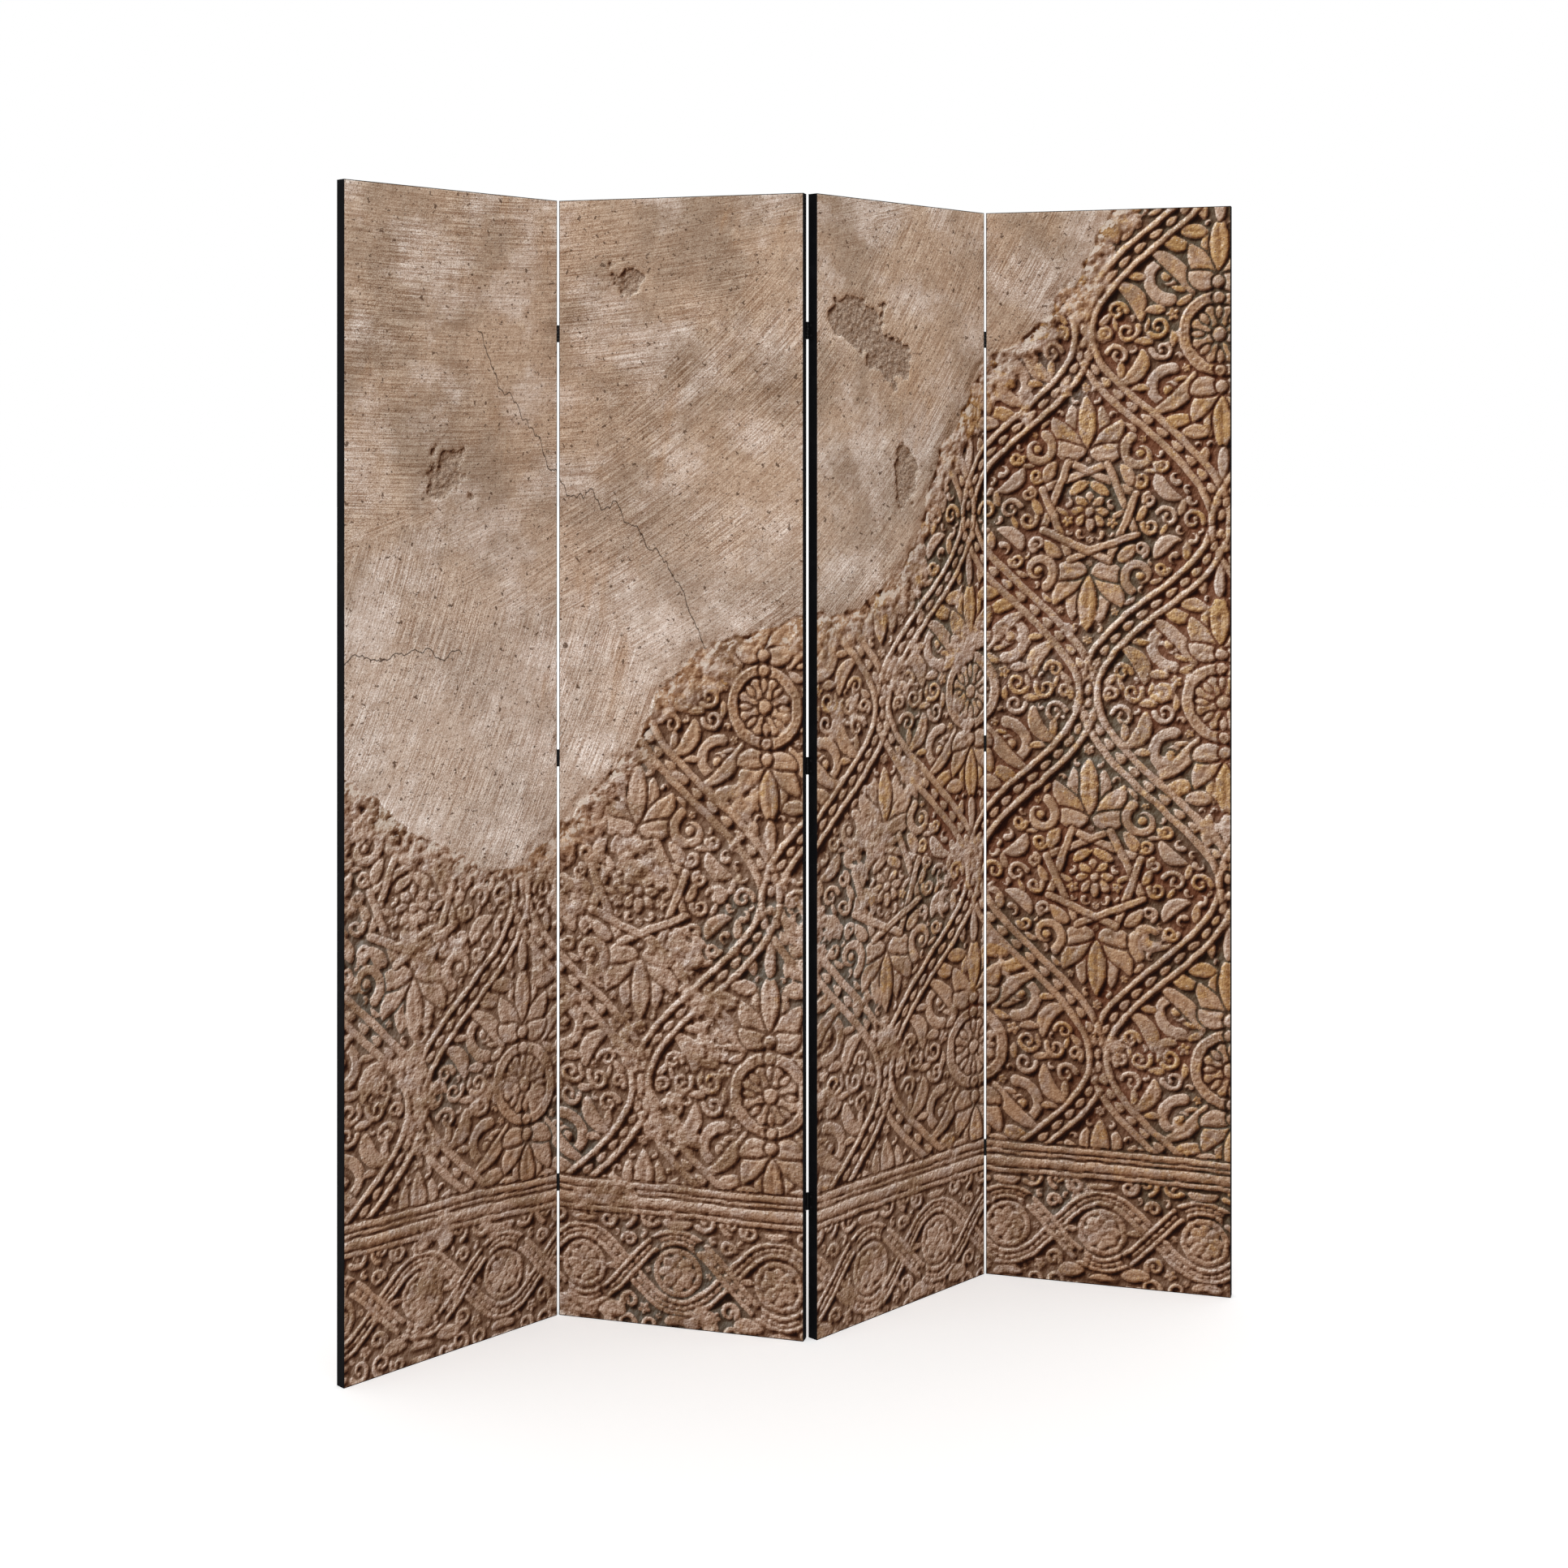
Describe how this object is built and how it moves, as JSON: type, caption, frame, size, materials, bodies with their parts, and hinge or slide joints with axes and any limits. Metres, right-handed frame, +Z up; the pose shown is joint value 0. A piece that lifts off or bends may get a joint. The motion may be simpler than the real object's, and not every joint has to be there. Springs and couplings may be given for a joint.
{
  "type": "folding screen",
  "caption": "Free-standing zigzag folding screen of hinged panels, each a timber stretcher frame with printed canvas on both faces and a black taped edge.",
  "frame": {"origin": "middle of the footprint, on the floor that the screen stands on", "axes": "+Z up, +X along the screen's line to the right as seen from the front, the front faces -Y"},
  "size_m": [1.4242, 0.218, 1.76],
  "materials": {
    "printed_canvas": "matt printed canvas weave",
    "black_tape": "matt woven tape",
    "pine": "planed, unfinished",
    "black_hinge": "satin black",
    "hinge_pin": "bright drawn",
    "black_screws": "black oxide"
  },
  "bodies": {
    "panel_1": {"panel_1_left_stile": "pine", "panel_1_right_stile": "pine", "panel_1_bottom_rail": "pine", "panel_1_top_rail": "pine", "panel_1_cross_rails": "pine", "panel_1_front_canvas": "printed_canvas", "panel_1_back_canvas": "printed_canvas", "panel_1_edge_tape": "black_tape", "panel_1_hinge_screws": "black_screws", "hinge_1_bottom_left_leaf": "black_hinge", "hinge_1_middle_left_leaf": "black_hinge", "hinge_1_top_left_leaf": "black_hinge"},
    "panel_2": {"panel_2_left_stile": "pine", "panel_2_right_stile": "pine", "panel_2_bottom_rail": "pine", "panel_2_top_rail": "pine", "panel_2_cross_rails": "pine", "panel_2_front_canvas": "printed_canvas", "panel_2_back_canvas": "printed_canvas", "panel_2_edge_tape": "black_tape", "panel_2_hinge_screws": "black_screws", "hinge_1_bottom_right_leaf": "black_hinge", "hinge_1_middle_right_leaf": "black_hinge", "hinge_1_top_right_leaf": "black_hinge", "hinge_2_bottom_left_leaf": "black_hinge", "hinge_2_middle_left_leaf": "black_hinge", "hinge_2_top_left_leaf": "black_hinge", "hinge_1_pins": "hinge_pin", "hinge_2_pins": "hinge_pin"},
    "panel_3": {"panel_3_left_stile": "pine", "panel_3_right_stile": "pine", "panel_3_bottom_rail": "pine", "panel_3_top_rail": "pine", "panel_3_cross_rails": "pine", "panel_3_front_canvas": "printed_canvas", "panel_3_back_canvas": "printed_canvas", "panel_3_edge_tape": "black_tape", "panel_3_hinge_screws": "black_screws", "hinge_2_bottom_right_leaf": "black_hinge", "hinge_2_middle_right_leaf": "black_hinge", "hinge_2_top_right_leaf": "black_hinge", "hinge_3_bottom_left_leaf": "black_hinge", "hinge_3_middle_left_leaf": "black_hinge", "hinge_3_top_left_leaf": "black_hinge", "hinge_3_pins": "hinge_pin"},
    "panel_4": {"panel_4_left_stile": "pine", "panel_4_right_stile": "pine", "panel_4_bottom_rail": "pine", "panel_4_top_rail": "pine", "panel_4_cross_rails": "pine", "panel_4_front_canvas": "printed_canvas", "panel_4_back_canvas": "printed_canvas", "panel_4_edge_tape": "black_tape", "panel_4_hinge_screws": "black_screws", "hinge_3_bottom_right_leaf": "black_hinge", "hinge_3_middle_right_leaf": "black_hinge", "hinge_3_top_right_leaf": "black_hinge"}
  },
  "joints": [
    {"name": "fold_1", "type": "hinge", "parent": "panel_2", "child": "panel_1", "pos_m": [-0.35692, 0.09444, 0.88], "axis": [0, 0, 1], "range_deg": [-61, 119]},
    {"name": "fold_2", "type": "hinge", "parent": "panel_2", "child": "panel_3", "pos_m": [0, -0.09444, 0.88], "axis": [0, 0, 1], "range_deg": [-61, 119]},
    {"name": "fold_3", "type": "hinge", "parent": "panel_3", "child": "panel_4", "pos_m": [0.35692, 0.09444, 0.88], "axis": [0, 0, -1], "range_deg": [-61, 119]}
  ]
}
